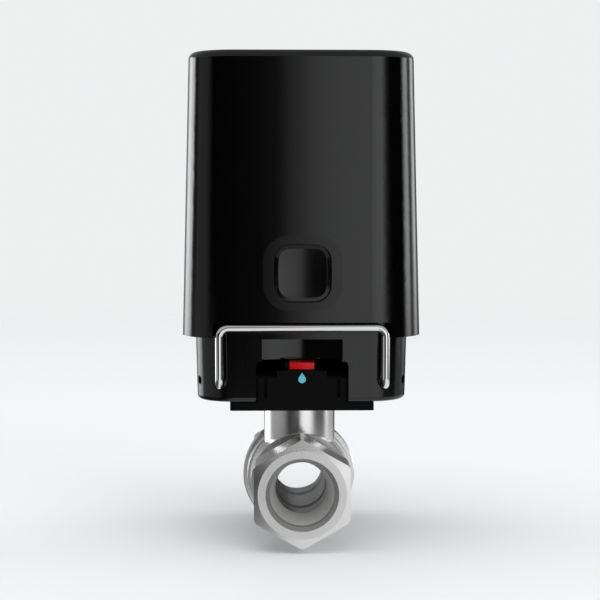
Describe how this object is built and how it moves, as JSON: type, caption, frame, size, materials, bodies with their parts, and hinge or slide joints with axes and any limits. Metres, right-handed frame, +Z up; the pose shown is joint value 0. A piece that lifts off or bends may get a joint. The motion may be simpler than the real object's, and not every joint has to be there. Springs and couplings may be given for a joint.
{
  "type": "smart water valve",
  "caption": "Motorised quarter-turn ball valve: glossy tapered drive with a push button and wire bail, clipped on a plated half-inch valve body with a position window",
  "frame": {"origin": "where the pipe's axis crosses the stem's axis, at the centre of the ball", "axes": "+Z up along the stem and the drive, +Y back along the pipe away from the viewer, +X to the viewer's right"},
  "size_m": [0.0686, 0.0685, 0.1424],
  "materials": {
    "nickel_plated_brass": "nickel-plated brass, satin and turned",
    "polished_ball": "hard-chromed brass ball, polished",
    "brass": "plain machined brass",
    "seat_white": "white PTFE",
    "rubber_black": "black nitrile rubber",
    "spring_steel": "spring steel, bright",
    "screw_steel": "zinc-plated steel",
    "gloss_black": "high-gloss black moulding",
    "matte_black": "fine matte black moulding",
    "button_black": "semi-gloss black cap",
    "indicator_red": "glossy red moulding",
    "drop_blue": "light blue inlay",
    "bail_wire": "polished stainless wire",
    "gear_white": "natural acetal gear",
    "bush_bronze": "sintered bronze",
    "case_grey": "dark grey glass-filled moulding",
    "motor_can": "zinc-plated motor can",
    "magnet": "nickel-plated magnet",
    "circuit_green": "green circuit board",
    "chip_black": "black moulded chip package",
    "radio_can": "tinned shielding can",
    "connector_cream": "cream connector housing",
    "switch_black": "black switch housing",
    "cell_jacket": "plain dark blue cell jacket",
    "contact_nickel": "nickel-plated contact strip",
    "lead_red": "red insulated lead",
    "lead_black": "black insulated lead"
  },
  "bodies": {
    "body": {"valve_body": "nickel_plated_brass", "end_piece": "nickel_plated_brass", "body_seal": "seat_white", "front_seat": "seat_white", "rear_seat": "seat_white", "thrust_washer": "seat_white", "adapter": "matte_black", "adapter_screws": "screw_steel", "drop_mark": "drop_blue", "chassis": "gloss_black", "cover_shell": "gloss_black", "cover_gasket": "rubber_black", "cover_screws": "screw_steel", "button_seal": "rubber_black", "shaft_bush": "bush_bronze", "shaft_seal": "rubber_black", "upper_bush": "bush_bronze", "gear_axles": "spring_steel", "gear_motor": "motor_can", "motor_screws": "screw_steel", "gear_case": "case_grey", "gear_case_lid": "case_grey", "gear_case_screws": "screw_steel", "lid_screws": "screw_steel", "sensor_board": "circuit_green", "battery_carrier": "case_grey", "carrier_screws": "screw_steel", "battery_1": "cell_jacket", "battery_2": "cell_jacket", "battery_3": "cell_jacket", "battery_4": "cell_jacket", "lower_contacts": "contact_nickel", "upper_contacts": "contact_nickel", "battery_cap": "case_grey", "battery_cap_screw": "screw_steel", "control_board": "circuit_green", "board_screws": "screw_steel", "radio_module": "radio_can", "board_chips": "chip_black", "board_connectors": "connector_cream", "tact_switch": "switch_black", "motor_leads": "lead_black", "battery_leads": "lead_red"},
    "turning_set": {"ball": "polished_ball", "stem": "brass", "stem_o_rings": "rubber_black", "stem_clip": "spring_steel", "output_shaft": "gear_white", "position_indicator": "indicator_red", "output_gear": "gear_white", "position_magnet": "magnet"},
    "second_gear": {"second_gear": "gear_white"},
    "first_gear": {"first_gear": "gear_white"},
    "motor_rotor": {"motor_shaft": "spring_steel", "motor_pinion": "brass"},
    "button": {"button_cap": "button_black", "switch_plunger": "switch_black"},
    "bail": {"bail": "bail_wire"}
  },
  "joints": [
    {"name": "valve_turn", "type": "hinge", "parent": "body", "child": "turning_set", "pos_m": [0, 0, 0.04], "axis": [0, 0, 1], "range_deg": [-90, 0]},
    {"name": "second_gear_turn", "type": "hinge", "parent": "body", "child": "second_gear", "pos_m": [-0.01804, -0.00657, 0.052], "axis": [0, 0, 1], "range_deg": [0, 270]},
    {"name": "first_gear_turn", "type": "hinge", "parent": "body", "child": "first_gear", "pos_m": [-0.01691, 0.00638, 0.057], "axis": [0, 0, 1], "range_deg": [-900, 0]},
    {"name": "motor_turn", "type": "hinge", "parent": "body", "child": "motor_rotor", "pos_m": [-0.01795, 0.01834, 0.062], "axis": [0, 0, 1], "range_deg": [0, 2700]},
    {"name": "button_press", "type": "slide", "parent": "body", "child": "button", "axis": [0, 1, 0], "range_m": [0, 0.0005], "stiffness_N_per_m": 4000},
    {"name": "bail_pull", "type": "slide", "parent": "body", "child": "bail", "axis": [0, -1, 0], "range_m": [0, 0.044]}
  ],
  "couplings": [
    {"joint": "second_gear_turn", "follows": "valve_turn", "ratio": -3},
    {"joint": "first_gear_turn", "follows": "valve_turn", "ratio": 10},
    {"joint": "motor_turn", "follows": "valve_turn", "ratio": -30}
  ]
}
